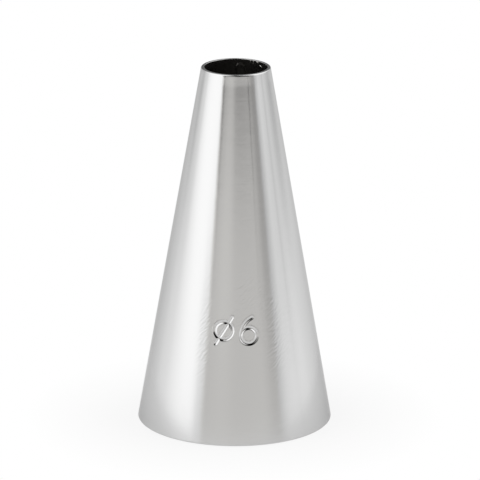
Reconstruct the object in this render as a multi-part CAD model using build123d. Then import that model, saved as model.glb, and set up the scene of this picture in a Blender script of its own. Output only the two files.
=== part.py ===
# Plain round piping nozzle, standing on its open foot with the mouth up.
# One sheet of steel is stamped with its size mark, rolled into a cone and closed by a soldered seam.
# Origin: centre of the foot. +Z runs up the cone's axis to the mouth. The size mark faces -Y. Millimetres.
from build123d import *
import math
import os

# The cone
foot_diameter = 18.5        # outside, the size that standard couplers are made for
mouth_diameter = 6.54       # outside
cone_height = 34.45
sheet_thickness = 0.3
foot_edge_radius = 0.07     # both edges of the cut foot, deburred
mouth_outer_radius = 0.13   # the mouth's outer edge, burnished smooth
mouth_inner_radius = 0.05

# The seam, opposite the size mark
seam_turn = 7.0             # degrees from the back towards +X
seam_gap = 0.24             # between the rolled sheet's two edges
bead_width = 0.85           # solder left standing on the inside, across the seam
bead_height = 0.09
bead_setback = 0.3          # the bead is wiped off this far short of the foot and the mouth

# The size mark, a diameter sign and a 6: the mouth is close to 6 mm inside
mark_middle_height = 10.8   # above the foot
mark_shift = 0.15           # of the mark's middle, towards +X
figure_height = 2.8
figure_spacing = 2.35       # from the sign's middle to the 6's middle
bowl_diameter = 1.85        # outside of the 6's bowl
ring_diameter = 2.0         # outside of the sign's ring
stroke_width = 0.34
stamp_depth = 0.09
slash_angle = 58.0          # degrees, of the stroke through the sign's ring
stem_sweep = 62.0           # degrees, of the arc that rises from the 6's bowl

foot_radius = foot_diameter / 2
mouth_radius = mouth_diameter / 2
half_angle = math.atan2(foot_radius - mouth_radius, cone_height)


def cone_solid(depth):
    """A solid cone over the whole height, its wall sunk by depth below the outer wall."""
    inset = depth / math.cos(half_angle)
    return Solid.make_cone(foot_radius - inset, mouth_radius - inset, cone_height)


def rolled_wall():
    """The sheet as a full ring of wall, with its cut edges rounded."""
    inset = sheet_thickness / math.cos(half_angle)
    foot_outer = Vector(foot_radius, 0)
    foot_inner = Vector(foot_radius - inset, 0)
    mouth_outer = Vector(mouth_radius, cone_height)
    mouth_inner = Vector(mouth_radius - inset, cone_height)
    section = make_face(Polyline(foot_outer, mouth_outer, mouth_inner, foot_inner, close=True))
    roundings = {
        foot_outer: foot_edge_radius,
        foot_inner: foot_edge_radius,
        mouth_outer: mouth_outer_radius,
        mouth_inner: mouth_inner_radius,
    }
    for corner, radius in roundings.items():
        section = fillet(section.vertices().sort_by_distance(corner)[0], radius)
    return revolve(Plane.XZ * section, Axis.Z)


def seam_slab(width, low, high):
    """An upright slab from the axis out through the back of the wall, where the seam runs."""
    upright = Box(width, foot_diameter, high - low, align=(Align.CENTER, Align.MIN, Align.MIN))
    return Rot(0, 0, -seam_turn) * Pos(0, 0, low) * upright


def diameter_sign():
    """A ring with one straight stroke through it."""
    ring = Circle(ring_diameter / 2) - Circle(ring_diameter / 2 - stroke_width)
    slash_length = (figure_height - stroke_width) / math.sin(math.radians(slash_angle))
    return ring + SlotCenterToCenter(slash_length, stroke_width, rotation=slash_angle)


def figure_six():
    """A round bowl at the foot of the line, with an arc that rises from its left side."""
    bowl_middle = (bowl_diameter - figure_height) / 2
    bowl = Circle(bowl_diameter / 2) - Circle(bowl_diameter / 2 - stroke_width)
    stem_rise = (figure_height - stroke_width) / 2 - bowl_middle
    stem_radius = stem_rise / math.sin(math.radians(stem_sweep))
    stem_left = (stroke_width - bowl_diameter) / 2
    stem = CenterArc((stem_left + stem_radius, bowl_middle), stem_radius, 180, -stem_sweep)
    return Pos(0, bowl_middle) * bowl + SlotArc(stem, stroke_width)


def size_mark():
    """The two figures as a punch that reaches through the front wall down to the stamped depth."""
    mark_radius = foot_radius - mark_middle_height * math.tan(half_angle)
    outward = Vector(0, -math.cos(half_angle), math.sin(half_angle))
    face = Plane(origin=(mark_shift, -mark_radius, mark_middle_height), x_dir=(1, 0, 0), z_dir=outward)
    figures = Pos(-figure_spacing / 2, 0) * diameter_sign() + Pos(figure_spacing / 2, 0) * figure_six()
    punch = extrude(face * figures, amount=mark_radius / 2, both=True)
    return punch - cone_solid(stamp_depth)


def open_wall():
    """The rolled wall, open along the seam."""
    return rolled_wall() - seam_slab(seam_gap, 0, cone_height)


def cone_shell():
    """The stamped and rolled sheet."""
    return open_wall() - size_mark()


def seam_solder():
    """Solder that fills the seam flush with the outside, with a low bead left on the inside.

    The bead's skin starts half way out through the wall, so its root reaches well into the fill.
    """
    fill = rolled_wall() & seam_slab(seam_gap, 0, cone_height)
    bead_skin = cone_solid(sheet_thickness / 2) - cone_solid(sheet_thickness + bead_height)
    bead = bead_skin & seam_slab(bead_width, bead_setback, cone_height - bead_setback)
    return fill + (bead - open_wall())


os.makedirs("parts", exist_ok=True)
export_step(cone_shell(), "parts/cone_shell.step")
export_step(seam_solder(), "parts/seam_solder.step")
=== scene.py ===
import math

import bmesh
import bpy
from mathutils import Matrix, Vector


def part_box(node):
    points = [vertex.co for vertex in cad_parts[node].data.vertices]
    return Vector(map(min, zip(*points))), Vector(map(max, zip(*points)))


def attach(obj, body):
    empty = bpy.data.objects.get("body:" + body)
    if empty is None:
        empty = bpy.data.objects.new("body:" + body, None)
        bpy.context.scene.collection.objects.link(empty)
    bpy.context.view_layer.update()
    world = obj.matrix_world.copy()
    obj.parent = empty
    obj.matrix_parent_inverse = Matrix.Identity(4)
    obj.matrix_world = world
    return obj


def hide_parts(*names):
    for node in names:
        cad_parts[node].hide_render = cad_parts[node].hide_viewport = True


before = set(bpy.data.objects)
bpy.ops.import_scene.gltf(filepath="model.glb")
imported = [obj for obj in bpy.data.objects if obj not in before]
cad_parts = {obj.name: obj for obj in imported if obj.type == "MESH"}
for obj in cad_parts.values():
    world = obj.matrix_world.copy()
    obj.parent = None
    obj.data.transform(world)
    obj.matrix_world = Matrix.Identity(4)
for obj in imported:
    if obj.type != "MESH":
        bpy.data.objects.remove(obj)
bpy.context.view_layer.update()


# The cone: one blank of nickel-plated steel sheet, stamped with its size mark, rolled round a mandrel
# until its two edges almost meet, and polished on a lathe, which leaves fine lines that run round it.
# The cut foot is only deburred. The mouth's outer edge is burnished round.
MM = 0.001
shell_low, shell_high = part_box("cone_shell")
cone_height = shell_high.z - shell_low.z
foot_radius = 9.25 * MM
mouth_radius = 3.27 * MM
sheet_thickness = 0.3 * MM
foot_edge_radius = 0.07 * MM
mouth_outer_radius = 0.13 * MM
mouth_inner_radius = 0.05 * MM
edge_segments = 6
edge_margin = 0.05 * MM         # plain wall kept beside each rounded edge, so that it shades cleanly
half_angle = math.atan2(foot_radius - mouth_radius, cone_height)
wall_inset = sheet_thickness / math.cos(half_angle)
cut_reach = 0.0001 * MM         # a cut moves no vertex that lies further off than this
touch = sheet_thickness / 10    # places closer together than this are taken as one
rounding_reach = 1.2            # of a rounding's radius, the most that it takes up along the wall
smooth_angle = math.radians(50) # an edge that turns by more than this stays sharp

seam_turn = math.radians(7.0)   # from the back towards +X
seam_gap = 0.24 * MM

mark_middle_height = 10.8 * MM
mark_shift = 0.15 * MM
figure_height = 2.8 * MM
figure_spacing = 2.35 * MM
bowl_radius = 0.925 * MM
ring_radius = 1.0 * MM
stroke_width = 0.34 * MM
stamp_depth = 0.09 * MM
slash_angle = math.radians(58.0)
stem_sweep = math.radians(62.0)
groove_round_share = 0.22       # of the stroke's half width, how far the punch's edge is rounded
lip_height = 0.006 * MM         # metal pushed up beside each stroke
lip_width = 0.05 * MM
mark_margin = 0.35 * MM         # fine mesh kept round the figures
mark_step = 0.032 * MM
plain_row = 1.2 * MM
plain_turn = math.radians(1.6)


def outer_radius(z):
    """The cone's outside radius at a height."""
    return foot_radius - z * math.tan(half_angle)


def select_where(piece, kind, wanted):
    """Selects only the vertices or edges of a piece whose middle point passes the test."""
    bpy.ops.mesh.select_mode(type={"verts": "VERT", "edges": "EDGE"}[kind])
    bpy.ops.mesh.select_all(action="DESELECT")
    mesh = bmesh.from_edit_mesh(piece.data)
    for element in getattr(mesh, kind):
        if kind == "verts":
            middle = element.co
        else:
            middle = (element.verts[0].co + element.verts[1].co) / 2
        if wanted(middle):
            element.select = True
    mesh.select_flush_mode()
    bmesh.update_edit_mesh(piece.data)


# A strip of the sheet stands on edge at +X, leaning by the cone's half angle. It is cut level at both ends.
overrun = 2 * MM                # of the strip's length, for the cuts to take off
bpy.ops.object.select_all(action="DESELECT")
bpy.ops.mesh.primitive_plane_add(size=1)
cone = bpy.context.object
cone.name = "rolled_cone"
cone.scale = (sheet_thickness, math.hypot(cone_height, foot_radius - mouth_radius) + overrun, 1)
cone.rotation_euler = (math.pi / 2, -half_angle, 0)
cone.location = ((foot_radius + mouth_radius - wall_inset) / 2, 0, cone_height / 2)
bpy.ops.object.transform_apply(location=True, rotation=True, scale=True)
bpy.ops.object.mode_set(mode="EDIT")
for cut_height, cut_normal in ((0, (0, 0, -1)), (cone_height, (0, 0, 1))):
    bpy.ops.mesh.select_all(action="SELECT")
    bpy.ops.mesh.bisect(
        plane_co=(0, 0, cut_height), plane_no=cut_normal, clear_outer=True, threshold=cut_reach
    )

# A bevel starts where a rounding of its radius would touch the two sides of the corner.
sharp_corner = math.pi / 2 - half_angle
blunt_corner = math.pi / 2 + half_angle
edge_roundings = (
    (foot_radius, 0, foot_edge_radius, sharp_corner),
    (foot_radius - wall_inset, 0, foot_edge_radius, blunt_corner),
    (mouth_radius, cone_height, mouth_outer_radius, blunt_corner),
    (mouth_radius - wall_inset, cone_height, mouth_inner_radius, sharp_corner),
)
for corner_x, corner_z, rounding, corner_angle in edge_roundings:
    corner = Vector((corner_x, 0, corner_z))
    select_where(cone, "verts", lambda point: (point - corner).length < touch)
    bevel_start = rounding / math.tan(corner_angle / 2)
    bpy.ops.mesh.bevel(offset=bevel_start, segments=edge_segments, affect="VERTICES")

# Rows are added up the outside, fine ones where the mark goes.
mark_low = mark_middle_height - figure_height / 2 - mark_margin
mark_high = mark_middle_height + figure_height / 2 + mark_margin
foot_row = foot_edge_radius * rounding_reach + edge_margin
mouth_row = cone_height - mouth_outer_radius * rounding_reach - edge_margin
for row_height in (foot_row, mark_low, mark_high, mouth_row):
    bpy.ops.mesh.select_all(action="SELECT")
    bpy.ops.mesh.bisect(plane_co=(0, 0, row_height), plane_no=(0, 0, 1), threshold=cut_reach)
stretches = (
    (foot_row, mark_low, plain_row),
    (mark_low, mark_high, mark_step),
    (mark_high, mouth_row, plain_row),
)
for low, high, step in stretches:
    stretch_middle = Vector((outer_radius((low + high) / 2), 0, (low + high) / 2))
    select_where(cone, "edges", lambda point: (point - stretch_middle).length < touch)
    bpy.ops.mesh.subdivide(number_cuts=math.ceil((high - low) / step) - 1, ngon=True)

# The strip is turned to the seam and spun once round, in fine steps across the mark.
bpy.ops.object.mode_set(mode="OBJECT")
seam_direction = math.pi / 2 - seam_turn
first_turn = math.asin(seam_gap / 2 / foot_radius)
cone.rotation_euler = (0, 0, seam_direction + first_turn)
bpy.ops.object.transform_apply(location=True, rotation=True, scale=True)
mark_half_width = (figure_spacing + 2 * ring_radius) / 2 + mark_margin + mark_shift
mark_half_turn = mark_half_width / outer_radius(mark_middle_height)
mark_turn_step = mark_step / outer_radius(mark_middle_height)
to_mark = 3 * math.pi / 2 - mark_half_turn - seam_direction - first_turn
past_mark = 2 * math.pi - 2 * first_turn - 2 * mark_half_turn - to_mark
bpy.ops.object.mode_set(mode="EDIT")
bpy.ops.mesh.select_all(action="SELECT")
for turn, step in ((to_mark, plain_turn), (2 * mark_half_turn, mark_turn_step), (past_mark, plain_turn)):
    bpy.ops.mesh.spin(steps=math.ceil(turn / step), angle=-turn, axis=(0, 0, 1), use_auto_merge=False)
bpy.ops.mesh.select_all(action="SELECT")
bpy.ops.mesh.normals_make_consistent(inside=False)
bpy.ops.object.mode_set(mode="OBJECT")


def stroke_distance(u, v):
    """How far a point of the mark's plane is from the middle line of the nearest stroke."""
    ring_u = u + figure_spacing / 2
    ring = abs(math.hypot(ring_u, v) - (ring_radius - stroke_width / 2))
    slash_reach = (figure_height - stroke_width) / 2 / math.sin(slash_angle)
    along = ring_u * math.cos(slash_angle) + v * math.sin(slash_angle)
    along = max(-slash_reach, min(slash_reach, along))
    slash = math.hypot(ring_u - along * math.cos(slash_angle), v - along * math.sin(slash_angle))

    six_u = u - figure_spacing / 2
    bowl_v = v - (bowl_radius - figure_height / 2)
    bowl_line = bowl_radius - stroke_width / 2
    bowl = abs(math.hypot(six_u, bowl_v) - bowl_line)
    stem_radius = (figure_height - stroke_width / 2 - bowl_radius) / math.sin(stem_sweep)
    stem_u = six_u + bowl_line - stem_radius
    stem_angle = max(math.pi - stem_sweep, min(math.pi, math.atan2(bowl_v, stem_u) % (2 * math.pi)))
    stem = math.hypot(
        stem_u - stem_radius * math.cos(stem_angle),
        bowl_v - stem_radius * math.sin(stem_angle),
    )
    return min(ring, slash, bowl, stem)


def stamped_depth(distance):
    """How deep the metal lies off a stroke's middle line: a V with a round bottom, and a low lip."""
    across = distance / (stroke_width / 2)
    edge = math.hypot(1, groove_round_share)
    groove = max(0, edge - math.hypot(across, groove_round_share)) / (edge - groove_round_share)
    lip = math.exp(-(((distance - stroke_width / 2 - lip_width) / lip_width) ** 2))
    return stamp_depth * groove - lip_height * lip


# The sheet's two edges are straight and parallel, so the columns are drawn back from the seam towards
# the mouth. Then the strokes are pressed in.
mark_middle = Vector((mark_shift, -outer_radius(mark_middle_height), mark_middle_height))
mark_up = Vector((0, math.sin(half_angle), math.cos(half_angle)))
for vertex in cone.data.vertices:
    radius = math.hypot(vertex.co.x, vertex.co.y)
    turn = (math.atan2(vertex.co.y, vertex.co.x) - seam_direction) % (2 * math.pi)
    share = (turn - first_turn) / (2 * math.pi - 2 * first_turn)
    edge_turn = math.asin(seam_gap / 2 / radius)
    turn = edge_turn + share * (2 * math.pi - 2 * edge_turn)
    direction = Vector((math.cos(seam_direction + turn), math.sin(seam_direction + turn), 0))
    vertex.co = Vector((0, 0, vertex.co.z)) + direction * radius
    outside = abs(radius - outer_radius(vertex.co.z)) < touch
    if outside and direction.y < 0 and mark_low < vertex.co.z < mark_high:
        offset = vertex.co - mark_middle
        depth = stamped_depth(stroke_distance(offset.x, offset.dot(mark_up)))
        vertex.co -= depth * (direction * math.cos(half_angle) + Vector((0, 0, math.sin(half_angle))))

bpy.ops.object.shade_smooth_by_angle(angle=smooth_angle)


def linear(hex_colour):
    """An sRGB hex colour as the linear values that a shader takes."""
    values = []
    for start in (1, 3, 5):
        share = int(hex_colour[start:start + 2], 16) / 255
        values.append(share / 12.92 if share <= 0.04045 else ((share + 0.055) / 1.055) ** 2.4)
    return values + [1]


def add_node(owner, kind, settings=(), links=()):
    """Adds a node. Settings give its properties or inputs, links its inputs and what feeds them."""
    node = owner.node_tree.nodes.new(kind)
    for name, value in dict(settings).items():
        if isinstance(name, str) and hasattr(node, name):
            setattr(node, name, value)
        else:
            node.inputs[name].default_value = value
    for name, source in dict(links).items():
        owner.node_tree.links.new(source, node.inputs[name])
    return node


def empty_material(name):
    """A node material with nothing in it yet."""
    material = bpy.data.materials.new(name)
    material.use_nodes = True
    material.node_tree.nodes.clear()
    return material


# Bright nickel plate over steel, polished on the lathe: sharp reflections round the cone, drawn out up and
# down by the fine lines. The hand polish leaves short slanting strokes, which fray the edge of a highlight.
polished =empty_material("polished_nickel_plate")
place = add_node(polished, "ShaderNodeTexCoord").outputs["Object"]
line_pitch = 0.14 * MM
line_length = 9 * MM
line_relief = 0.001 * MM
stroke_pitch = 0.17 * MM
stroke_length = 0.48 * MM
stroke_relief = 0.007 * MM
stroke_slant = math.radians(48)
strokes_full = 4 * MM           # up to this far from the mark's middle, the strokes are at their strongest
strokes_faint = 7 * MM          # from this far on, they are faint
faint_share = 0.2
wave_size = 1.6 * MM            # of the shallow waves that rolling left in the sheet
wave_relief = 0.005 * MM
flare_length = 1.2 * MM
flare_relief = 0.025 * MM
lines_place = add_node(
    polished,
    "ShaderNodeMapping",
    {"Scale": (1 / line_length, 1 / line_length, 1 / line_pitch)},
    {"Vector": place},
).outputs["Vector"]
lines = add_node(
    polished, "ShaderNodeTexNoise", {"Scale": 1, "Detail": 3, "Roughness": 0.6}, {"Vector": lines_place}
).outputs["Fac"]
waves = add_node(
    polished,
    "ShaderNodeTexNoise",
    {"Scale": 1 / wave_size, "Detail": 2, "Roughness": 0.5},
    {"Vector": place},
).outputs["Fac"]

# The strokes follow the wall: their pattern is laid out by the way round the cone and the height.
mean_radius = (foot_radius + mouth_radius) / 2
axes = add_node(polished, "ShaderNodeSeparateXYZ", {}, {"Vector": place}).outputs
front_way = add_node(
    polished, "ShaderNodeMath", {"operation": "MULTIPLY", 1: -1}, {0: axes["Y"]}
).outputs[0]
way_round = add_node(
    polished, "ShaderNodeMath", {"operation": "ARCTAN2"}, {0: axes["X"], 1: front_way}
).outputs[0]
arc_length = add_node(
    polished, "ShaderNodeMath", {"operation": "MULTIPLY", 1: mean_radius}, {0: way_round}
).outputs[0]
wall_place = add_node(polished, "ShaderNodeCombineXYZ", {}, {"X": arc_length, "Y": axes["Z"]}).outputs[0]
slanted_place = add_node(
    polished, "ShaderNodeMapping", {"Rotation": (0, 0, -stroke_slant)}, {"Vector": wall_place}
).outputs["Vector"]
strokes_place = add_node(
    polished,
    "ShaderNodeMapping",
    {"Scale": (1 / stroke_length, 1 / stroke_pitch, 1)},
    {"Vector": slanted_place},
).outputs["Vector"]
strokes = add_node(
    polished, "ShaderNodeTexNoise", {"Scale": 1, "Detail": 1, "Roughness": 0.4}, {"Vector": strokes_place}
).outputs["Fac"]

# The strokes are strongest round the size mark, where the plate was gone over again after stamping.
mark_distance = add_node(
    polished,
    "ShaderNodeVectorMath",
    {"operation": "DISTANCE", 1: (0, mark_middle_height, 0)},
    {0: wall_place},
).outputs["Value"]
stroke_strength = add_node(
    polished,
    "ShaderNodeMapRange",
    {"From Min": strokes_full, "From Max": strokes_faint, "To Min": 1, "To Max": faint_share},
    {"Value": mark_distance},
).outputs["Result"]
line_bump = add_node(
    polished, "ShaderNodeBump", {"Strength": 1, "Distance": line_relief}, {"Height": lines}
).outputs["Normal"]
stroke_bump = add_node(
    polished,
    "ShaderNodeBump",
    {"Distance": stroke_relief},
    {"Strength": stroke_strength, "Height": strokes, "Normal": line_bump},
).outputs["Normal"]
wave_bump = add_node(
    polished,
    "ShaderNodeBump",
    {"Strength": 1, "Distance": wave_relief},
    {"Height": waves, "Normal": stroke_bump},
).outputs["Normal"]

# Burnishing the mouth's edge has pushed the last millimetre of the wall out by a hair.
flare = add_node(
    polished,
    "ShaderNodeMapRange",
    {
        "interpolation_type": "SMOOTHSTEP",
        "From Min": cone_height - flare_length,
        "From Max": cone_height + flare_length / 3,
    },
    {"Value": axes["Z"]},
).outputs["Result"]
surface = add_node(
    polished,
    "ShaderNodeBump",
    {"Strength": 1, "Distance": flare_relief},
    {"Height": flare, "Normal": wave_bump},
).outputs["Normal"]

# The specular tint keeps the plate a little grey where it is seen at a flat angle.
plate = add_node(
    polished,
    "ShaderNodeBsdfPrincipled",
    {
        "Base Color": linear("#d7d7d7"),
        "Metallic": 1,
        "Specular Tint": linear("#e0e0e0"),
        "Roughness": 0.14,
        "Anisotropic": 0.85,
        "Anisotropic Rotation": 0.25,
    },
    {"Normal": surface},
).outputs["BSDF"]
add_node(polished, "ShaderNodeOutputMaterial", {}, {"Surface": plate})

# The unpolished inside of the sheet, pitted by the rolls, so that it looks duller. Its dark colour is
# partly that of the unpolished metal
# and partly painted shade: darker than bare metal, so that the hollow inside looks shaded.
pit_size = 0.25 * MM
pit_relief = 0.004 * MM
unpolished_and_shaded = empty_material("unpolished_sheet_and_painted_shade")
inside_place = add_node(unpolished_and_shaded, "ShaderNodeTexCoord").outputs["Object"]
inside_pits = add_node(
    unpolished_and_shaded,
    "ShaderNodeTexNoise",
    {"Scale": 1 / pit_size, "Detail": 3, "Roughness": 0.6},
    {"Vector": inside_place},
).outputs["Fac"]
inside_surface = add_node(
    unpolished_and_shaded, "ShaderNodeBump", {"Strength": 1, "Distance": pit_relief}, {"Height": inside_pits}
).outputs["Normal"]
# This base colour is partly painted shade, darker than the bare metal would be.
dull_and_shaded = add_node(
    unpolished_and_shaded,
    "ShaderNodeBsdfPrincipled",
    {"Base Color": linear("#7c7a77"), "Metallic": 1, "Roughness": 0.34},
    {"Normal": inside_surface},
).outputs["BSDF"]
add_node(unpolished_and_shaded, "ShaderNodeOutputMaterial", {}, {"Surface": dull_and_shaded})

cone.data.materials.append(polished)
cone.data.materials.append(unpolished_and_shaded)
# The inside wall's faces take the dark inside material, whose colour is partly painted shade.
for face in cone.data.polygons:
    inner = outer_radius(face.center.z) - wall_inset
    radius = math.hypot(face.center.x, face.center.y)
    upright = abs(face.normal.z) < 0.5
    if upright and abs(radius - inner) < touch:
        face.material_index = 1
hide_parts("cone_shell")
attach(cone, "root")


# The seam: tin solder run into the gap between the sheet's two edges. Outside it is filed down with the
# cone. Inside it is left as it set, a low uneven bead. It has sunk into a small notch at the foot and at
# the mouth, and a few drops of it froze on the wall inside the mouth.
bead_width = 0.85 * MM
bead_height = 0.09 * MM
bead_setback = 0.3 * MM
bead_taper = 0.45 * MM          # over which each end of the bead runs out
bead_least = 0.05               # of the bead's full size, what is left of it past its ends
foot_notch = 0.08 * MM
mouth_notch = 0.03 * MM
seam_sink = 0.005 * MM          # below the outside, where the file took more of the soft solder
seam_row = 0.2 * MM
crown_steps = 6
gap_half = seam_gap / 2

# Each swell of the bead: its share of the mean size, its length up the seam, and where it starts.
left_swells = ((0.12, 0.47 * MM, 0), (0.08, 0.19 * MM, 1.3))
right_swells = ((0.12, 0.55 * MM, 2.1), (0.09, 0.17 * MM, 0))
crown_swells = ((0.2, 0.41 * MM, 0.7),)


def swollen(height, swells):
    """The bead's size at a height, as a share of its mean size."""
    return 1 + sum(share * math.sin(height / length + start) for share, length, start in swells)


def mouth_fall(height):
    """How far the mouth's rounded outer edge lies inside the line of the cone at a height."""
    rounding_middle = cone_height - mouth_outer_radius
    if height < rounding_middle:
        return 0
    middle_radius = outer_radius(rounding_middle) - mouth_outer_radius / math.cos(half_angle)
    reach = math.sqrt(mouth_outer_radius ** 2 - (height - rounding_middle) ** 2)
    return outer_radius(height) - middle_radius - reach


def seam_section(height):
    """The seam cut across at a height: points by their distance across it and their depth in the wall."""
    end_distance = min(height, cone_height - height) - bead_setback
    rise = max(bead_least, min(1, end_distance / bead_taper))
    crown = bead_height * rise * swollen(height, crown_swells)
    sink = seam_sink + mouth_fall(height)
    points = [(-gap_half, sink), (0, sink - seam_sink / 2), (gap_half, sink), (gap_half, wall_inset)]
    for step in range(crown_steps + 1):
        swing = math.pi * step / crown_steps
        swells = right_swells if swing < math.pi / 2 else left_swells
        half_width = gap_half + (bead_width / 2 * swollen(height, swells) - gap_half) * rise
        points.append((half_width * math.cos(swing), wall_inset + crown * math.sin(swing)))
    points.append((-gap_half, wall_inset))
    return points


# A prism 1 m high, with a side for each point of the section, is cut into rows.
section_points = len(seam_section(0))
bpy.ops.object.select_all(action="DESELECT")
bpy.ops.mesh.primitive_cylinder_add(vertices=section_points, radius=1, depth=1, end_fill_type="NGON")
seam = bpy.context.object
seam.name = "solder_seam"
bpy.ops.object.mode_set(mode="EDIT")
select_where(seam, "edges", lambda point: abs(point.z) < 0.1)
bpy.ops.mesh.subdivide(number_cuts=math.ceil(cone_height / seam_row) - 1, ngon=True)
bpy.ops.object.mode_set(mode="OBJECT")

# Its points are moved into the seam, where the rows lie closer together towards both ends.
outward = Vector((math.cos(seam_direction), math.sin(seam_direction), 0))
sideways = Vector((-outward.y, outward.x, 0))
for vertex in seam.data.vertices:
    section_place = math.atan2(vertex.co.y, vertex.co.x) / (2 * math.pi) * section_points
    row_share = (1 + math.sin(math.pi * vertex.co.z)) / 2
    height = foot_notch + row_share * (cone_height - foot_notch - mouth_notch)
    across, depth = seam_section(height)[round(section_place) % section_points]
    radius = outer_radius(height) - depth
    vertex.co = outward * math.sqrt(radius ** 2 - across ** 2) + sideways * across + Vector((0, 0, height))

# Each drop: degrees from the back towards +X, how far below the mouth, its length, width and slant.
drop_height = 0.05 * MM
drops = (
    (27.0, 0.16 * MM, 0.26 * MM, 0.15 * MM, 70.0),
    (33.0, 0.24 * MM, 0.34 * MM, 0.13 * MM, 60.0),
    (42.5, 0.15 * MM, 0.36 * MM, 0.17 * MM, -10.0),
    (50.0, 0.50 * MM, 0.38 * MM, 0.16 * MM, -32.0),
)
pieces = [seam]
for turn, below_mouth, length, width, slant in drops:
    direction = math.pi / 2 - math.radians(turn)
    away = Vector((math.cos(direction), math.sin(direction), 0))
    around = Vector((away.y, -away.x, 0))
    upward = Vector((0, 0, math.cos(half_angle))) - away * math.sin(half_angle)
    height = cone_height - below_mouth
    lengthways = around * math.cos(math.radians(slant)) + upward * math.sin(math.radians(slant))
    off_wall = upward.cross(around)
    drop_axes = Matrix((lengthways, off_wall.cross(lengthways), off_wall)).transposed()
    bpy.ops.mesh.primitive_uv_sphere_add(segments=20, ring_count=12, radius=1)
    drop = bpy.context.object
    drop.matrix_world = Matrix.LocRotScale(
        away * (outer_radius(height) - wall_inset) + Vector((0, 0, height)),
        drop_axes.to_quaternion(),
        (length / 2, width / 2, drop_height),
    )
    bpy.ops.object.transform_apply(location=True, rotation=True, scale=True)
    pieces.append(drop)
bpy.ops.object.select_all(action="DESELECT")
for piece in pieces:
    piece.select_set(True)
bpy.context.view_layer.objects.active = seam
bpy.ops.object.join()
bpy.ops.object.mode_set(mode="EDIT")
bpy.ops.mesh.select_all(action="SELECT")
bpy.ops.mesh.normals_make_consistent(inside=False)
bpy.ops.object.mode_set(mode="OBJECT")
bpy.ops.object.shade_smooth_by_angle(angle=smooth_angle)

# Tin solder as it sets: duller and softer than the plate, with a finely pebbled skin.
pebble_size = 0.2 * MM
pebble_relief = 0.006 * MM
tarnish_stops = ((0.35, "#b3b1ab"), (0.65, "#cdccc8"))
solder = empty_material("set_tin_solder")
solder_place = add_node(solder, "ShaderNodeTexCoord").outputs["Object"]
pebbles = add_node(
    solder,
    "ShaderNodeTexNoise",
    {"Scale": 1 / pebble_size, "Detail": 3, "Roughness": 0.55},
    {"Vector": solder_place},
).outputs["Fac"]
solder_surface = add_node(
    solder, "ShaderNodeBump", {"Strength": 1, "Distance": pebble_relief}, {"Height": pebbles}
).outputs["Normal"]
tarnish = add_node(solder, "ShaderNodeValToRGB", {}, {"Fac": pebbles})
for stop, (position, colour) in zip(tarnish.color_ramp.elements, tarnish_stops):
    stop.position = position
    stop.color = linear(colour)
tin = add_node(
    solder,
    "ShaderNodeBsdfPrincipled",
    {"Metallic": 1, "Roughness": 0.3},
    {"Base Color": tarnish.outputs["Color"], "Normal": solder_surface},
).outputs["BSDF"]
add_node(solder, "ShaderNodeOutputMaterial", {}, {"Surface": tin})

# The bead takes the inside's dark colour, which is partly painted shade, so that it sinks into the shaded
# hollow. Only the drops are bright.
seam.data.materials.append(solder)
seam.data.materials.append(unpolished_and_shaded)
# The bead's inside faces get the dark inside material: painted shade over the bead.
for face in seam.data.polygons:
    beside = abs(face.center.dot(sideways))
    if beside < bead_width and face.center.xy.length < outer_radius(face.center.z) - wall_inset / 2:
        face.material_index = 1
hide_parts("seam_solder")
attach(seam, "root")


# Floor and light, as in a photographer's light tent: a small pale turntable whose edges burn out to white,
# a tall soft light on the left, a white card on the right, grey cloth in front, and dark gaps between them.
# The camera looks in through the front, and the cloth above it is dark.
table_radius = 32 * MM
burn_start = 9.5 * MM           # from the middle, where the table starts to burn out to white
burn_end = 20 * MM
burn_least = 0.85               # how far it is burnt out already under the nozzle
mirrored_share = 0.5            # how much of that white shows in the polished metal
bpy.ops.mesh.primitive_circle_add(vertices=96, radius=table_radius, fill_type="NGON")
floor = bpy.context.object
floor.name = "pale_floor"
pale = empty_material("pale_turntable")
matte = add_node(
    pale, "ShaderNodeBsdfPrincipled", {"Base Color": linear("#f7f7f7"), "Roughness": 0.9}
).outputs["BSDF"]
white = add_node(pale, "ShaderNodeEmission", {"Color": (1, 1, 1, 1), "Strength": 1}).outputs["Emission"]
rays = add_node(pale, "ShaderNodeLightPath").outputs
mirrored = add_node(
    pale, "ShaderNodeMath", {"operation": "MULTIPLY", 1: mirrored_share}, {0: rays["Is Glossy Ray"]}
).outputs[0]
seen = add_node(
    pale, "ShaderNodeMath", {"operation": "MAXIMUM"}, {0: rays["Is Camera Ray"], 1: mirrored}
).outputs[0]
table_place = add_node(pale, "ShaderNodeTexCoord").outputs["Object"]
from_middle = add_node(
    pale, "ShaderNodeVectorMath", {"operation": "LENGTH"}, {0: table_place}
).outputs["Value"]
whitening = add_node(
    pale,
    "ShaderNodeMapRange",
    {"From Min": burn_start, "From Max": burn_end, "To Min": burn_least, "To Max": 1},
    {"Value": from_middle},
).outputs["Result"]
whitened = add_node(
    pale, "ShaderNodeMath", {"operation": "MULTIPLY"}, {0: seen, 1: whitening}
).outputs[0]
table_top = add_node(pale, "ShaderNodeMixShader", {}, {0: whitened, 1: matte, 2: white}).outputs[0]
add_node(pale, "ShaderNodeOutputMaterial", {}, {"Surface": table_top})
floor.data.materials.append(pale)

tent_radius = 320 * MM
bpy.ops.mesh.primitive_uv_sphere_add(segments=96, ring_count=48, radius=tent_radius)
tent = bpy.context.object
tent.name = "light_tent"
bpy.ops.object.mode_set(mode="EDIT")
bpy.ops.mesh.select_all(action="SELECT")
bpy.ops.mesh.flip_normals()
bpy.ops.object.mode_set(mode="OBJECT")
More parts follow.
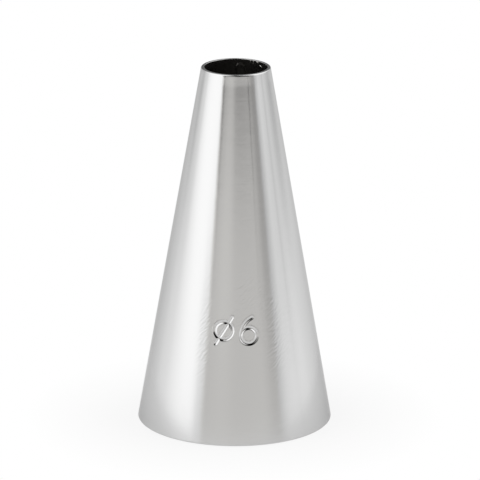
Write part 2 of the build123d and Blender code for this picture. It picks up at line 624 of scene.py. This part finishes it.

# The tent's wall in five rings: below the table, level with the nozzle's foot, level with its mouth, above
# it, and round the top. A ring's panels are listed by direction and brightness. The direction is in
# degrees from the front, + to the right.
under_panels = (
    (-180, 0.82), (-150, 0.82), (-136, 0.86), (-123, 0.92), (-112, 1.02), (-100, 1.08),
    (-90, 1.18), (-80, 1.28), (-70, 1.34), (-58, 1.34), (-52, 1.2), (-48, 1.0), (-43, 0.84),
    (-39, 0.72), (0, 0.64), (40, 0.76), (52, 0.78), (60, 0.92), (68, 1.04), (80, 1.1),
    (104, 1.08), (112, 1.02), (128, 0.96), (150, 0.92), (180, 0.86),
)
foot_panels = (
    (-180, 0.84), (-160, 0.84), (-148, 0.82), (-136, 0.72), (-122, 0.62), (-114, 0.8),
    (-102, 0.92), (-96, 1.04), (-90, 1.16), (-76, 1.34), (-68, 1.4), (-57, 1.38),
    (-52, 1.26), (-48, 0.98), (-43, 0.84), (-38, 0.74), (-30, 0.73), (0, 0.74), (38, 0.77),
    (48, 0.66), (56, 0.6), (60, 0.7), (66, 0.82), (72, 0.9), (84, 0.86), (88, 0.74),
    (92, 0.8), (98, 0.82), (112, 0.64), (122, 0.58), (130, 0.62), (160, 0.86),
)
mouth_panels = (
    (-180, 0.82), (-140, 0.86), (-124, 0.6), (-118, 0.72), (-112, 0.92), (-107, 1.02),
    (-100, 1.04), (-95, 1.22), (-88, 1.32), (-76, 1.4), (-43, 1.42), (-39, 1.05),
    (-36, 0.8), (-20, 0.88), (-12, 0.88), (-3, 0.84), (36, 0.79), (44, 0.68), (50, 0.5),
    (57, 0.42), (61, 0.55), (68, 0.74), (73, 0.87), (86, 0.8), (88, 0.62), (90, 0.78),
    (97, 0.82), (104, 0.76), (112, 0.66), (122, 0.6), (134, 0.82), (160, 0.86),
)
upper_panels = (
    (-180, 0.22), (-150, 0.22), (-138, 0.6), (-118, 0.65), (-110, 0.95), (-98, 1.05),
    (-91, 1.35), (-45, 1.42), (-42, 0.7), (-39, 0), (-33, 0), (-30, 0.2), (-20, 0.45),
    (-12, 0.5), (-6, 0.4), (0, 0.15), (10, 0.08), (30, 0.08), (36, 0), (40, 0), (52, 0.12),
    (58, 0.3), (63, 0.95), (72, 1.2), (110, 1.2), (120, 0.8), (146, 0.9), (155, 0.22),
    (180, 0.22),
)
top_panels = (
    (-180, 0.22), (-150, 0.22), (-138, 0.6), (-110, 1.0), (-91, 1.4), (-50, 1.42),
    (-38, 0.8), (-22, 0.3), (-12, 0), (40, 0), (55, 0.6), (66, 1.4), (110, 1.4),
    (146, 0.9), (155, 0.22), (180, 0.22),
)
full_level = 2                  # the brightness that a ramp's 1 stands for
cloth_left = -42                # the grey cloth's two sides, in degrees
cloth_right = 60
cloth_tint = (1, 0.985, 0.96)   # a little warmer than the light and the card
tent_light = empty_material("tent_light")
tent_place = add_node(tent_light, "ShaderNodeTexCoord").outputs["Object"]
tent_axes = add_node(tent_light, "ShaderNodeSeparateXYZ", {}, {"Vector": tent_place}).outputs
front = add_node(
    tent_light, "ShaderNodeMath", {"operation": "MULTIPLY", 1: -1}, {0: tent_axes["Y"]}
).outputs[0]
azimuth = add_node(
    tent_light, "ShaderNodeMath", {"operation": "ARCTAN2"}, {0: tent_axes["X"], 1: front}
).outputs[0]
turn_share = add_node(
    tent_light, "ShaderNodeMapRange", {"From Min": -math.pi, "From Max": math.pi}, {"Value": azimuth}
).outputs["Result"]


def panel_ramp(panels):
    """The brightness of a ring of panels as a ramp over the turn round the object."""
    ramp = add_node(tent_light, "ShaderNodeValToRGB", {}, {"Fac": turn_share})
    stops = ramp.color_ramp.elements
    while len(stops) < len(panels):
        stops.new(0.5)
    for stop, (degrees, level) in zip(stops, panels):
        tint = cloth_tint if cloth_left < degrees < cloth_right else (1, 1, 1)
        stop.position = (degrees + 180) / 360
        stop.color = [level * share / full_level for share in tint] + [1]
    return ramp.outputs["Color"]


# Each ring passes into the next between two heights.
wall_light = panel_ramp(under_panels)
rises = (
    (foot_panels, -17 * MM, -3 * MM),
    (mouth_panels, 8 * MM, 20 * MM),
    (upper_panels, 42 * MM, 75 * MM),
    (top_panels, 90 * MM, 120 * MM),
)
for panels, low, high in rises:
    rise = add_node(
        tent_light, "ShaderNodeMapRange", {"From Min": low, "From Max": high}, {"Value": tent_axes["Z"]}
    ).outputs["Result"]
    wall_light = add_node(
        tent_light, "ShaderNodeMix", {"data_type": "RGBA"}, {0: rise, 6: wall_light, 7: panel_ramp(panels)}
    ).outputs[2]
lamp = add_node(
    tent_light, "ShaderNodeEmission", {"Strength": full_level}, {"Color": wall_light}
).outputs["Emission"]
add_node(tent_light, "ShaderNodeOutputMaterial", {}, {"Surface": lamp})
tent.data.materials.append(tent_light)
tent.visible_camera = False

# The seams of the cloth beside the camera's opening are dark. Each is a narrow upright strip.
seam_tape = empty_material("dark_seam_tape")
tape = add_node(
    seam_tape, "ShaderNodeBsdfPrincipled", {"Base Color": linear("#101010"), "Roughness": 0.9}
).outputs["BSDF"]
add_node(seam_tape, "ShaderNodeOutputMaterial", {}, {"Surface": tape})
tape_radius = tent_radius * 0.97    # just inside the tent's wall
tape_width = 18 * MM
tape_low = 50 * MM
tape_high = 90 * MM
for tape_azimuth in (-35.5, 38.5):
    turn = math.radians(tape_azimuth)
    bpy.ops.mesh.primitive_plane_add(
        size=1,
        location=(tape_radius * math.sin(turn), -tape_radius * math.cos(turn), (tape_low + tape_high) / 2),
        rotation=(math.pi / 2, 0, turn),
    )
    strip = bpy.context.object
    strip.name = "tent_seam"
    strip.scale = (tape_width, tape_high - tape_low, 1)
    bpy.ops.object.transform_apply(location=True, rotation=True, scale=True)
    strip.data.materials.append(seam_tape)
    strip.visible_camera = False

world = bpy.data.worlds.new("white_room")
bpy.context.scene.world = world
world.use_nodes = True
world.node_tree.nodes.clear()
room = add_node(world, "ShaderNodeBackground", {"Color": (1, 1, 1, 1), "Strength": 1}).outputs[0]
add_node(world, "ShaderNodeOutputWorld", {}, {"Surface": room})
bpy.context.scene.view_settings.view_transform = "Standard"


# The camera, a long lens that looks down at about 17 degrees, fitted to the outline in the 480 by 480
# photograph.
camera_place = (0.457 * MM, -382.65 * MM, 133.35 * MM)
camera_aim = Vector((0.457 * MM, 0, 17.47 * MM))
camera_roll = 0.0045            # radians
focal_length = 316.05
sensor_width = 36
bpy.ops.object.camera_add(location=camera_place)
camera = bpy.context.object
camera.data.lens = focal_length
camera.data.sensor_width = sensor_width
aim = (camera_aim - camera.location).to_track_quat("-Z", "Y")
camera.rotation_euler = aim.to_euler()
camera.rotation_euler.rotate_axis("Z", camera_roll)
camera.data.clip_start = 0.01
bpy.context.scene.camera = camera
